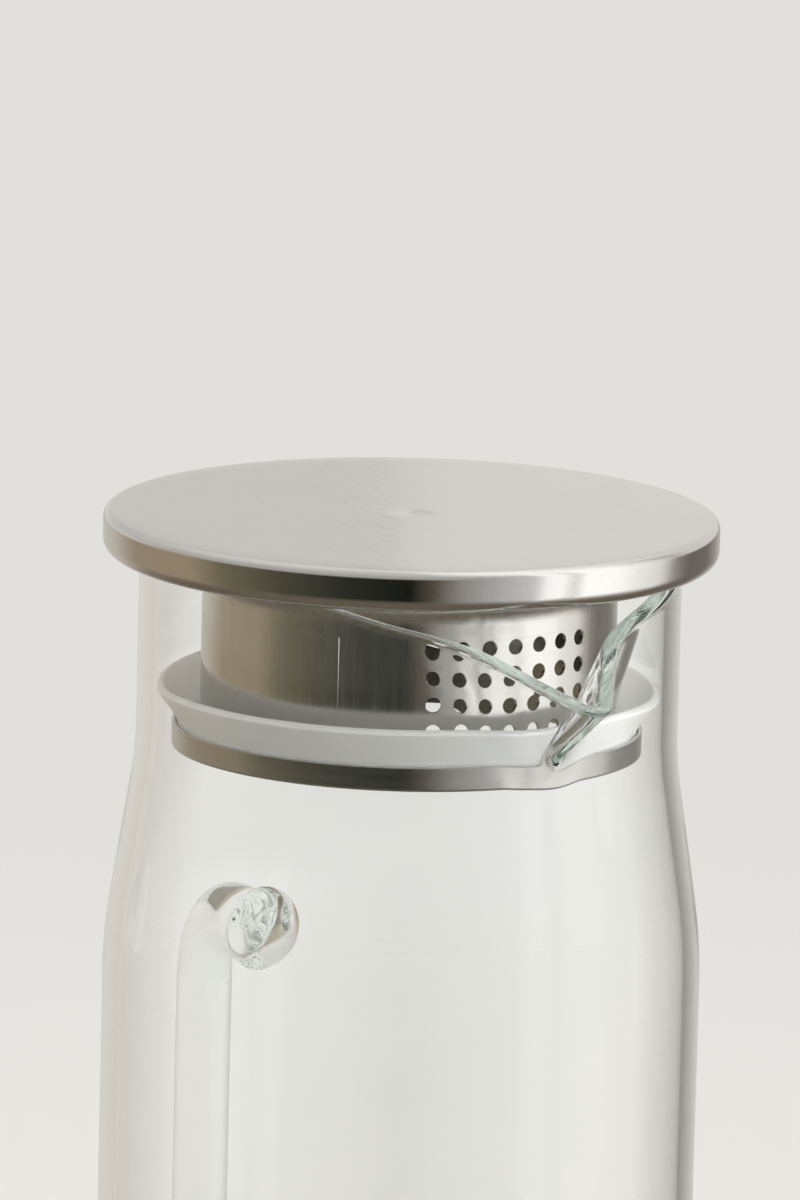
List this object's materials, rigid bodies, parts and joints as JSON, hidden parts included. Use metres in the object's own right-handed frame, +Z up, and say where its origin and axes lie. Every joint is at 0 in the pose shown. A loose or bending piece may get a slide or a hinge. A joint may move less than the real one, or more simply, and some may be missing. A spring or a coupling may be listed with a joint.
{
  "type": "glass water jug",
  "caption": "Glass jug with a V-shaped pouring spout, a glass rod handle and a flat steel lid that lifts off, with a strainer tube below it and a silicone lip seal that lets it turn in the neck.",
  "frame": {"origin": "centre of the flat base, on the axis of the jug", "axes": "+Z up along the axis of the jug, +X towards the spout, -X towards the handle"},
  "size_m": [0.1387, 0.1, 0.2424],
  "materials": {
    "glass": "clear blown glass, faintly green where it is thick",
    "satin_steel": "satin brushed",
    "inner_steel": "rolled sheet, semi-bright",
    "silicone": "translucent white silicone"
  },
  "bodies": {
    "jug": {"glass_body": "glass", "glass_handle": "glass"},
    "seal": {"lid_seal": "silicone"},
    "lid": {"lid_cap": "satin_steel", "lid_plate": "inner_steel", "strainer_collar": "inner_steel", "strainer_sleeve": "inner_steel", "seal_channel": "inner_steel"}
  },
  "joints": [
    {"name": "lid_lift", "type": "slide", "parent": "jug", "child": "seal", "axis": [0, 0, 1], "range_m": [0, 0.06]},
    {"name": "lid_turn", "type": "hinge", "parent": "seal", "child": "lid", "pos_m": [0, 0, 0.2044], "axis": [0, 0, 1], "continuous": true}
  ]
}
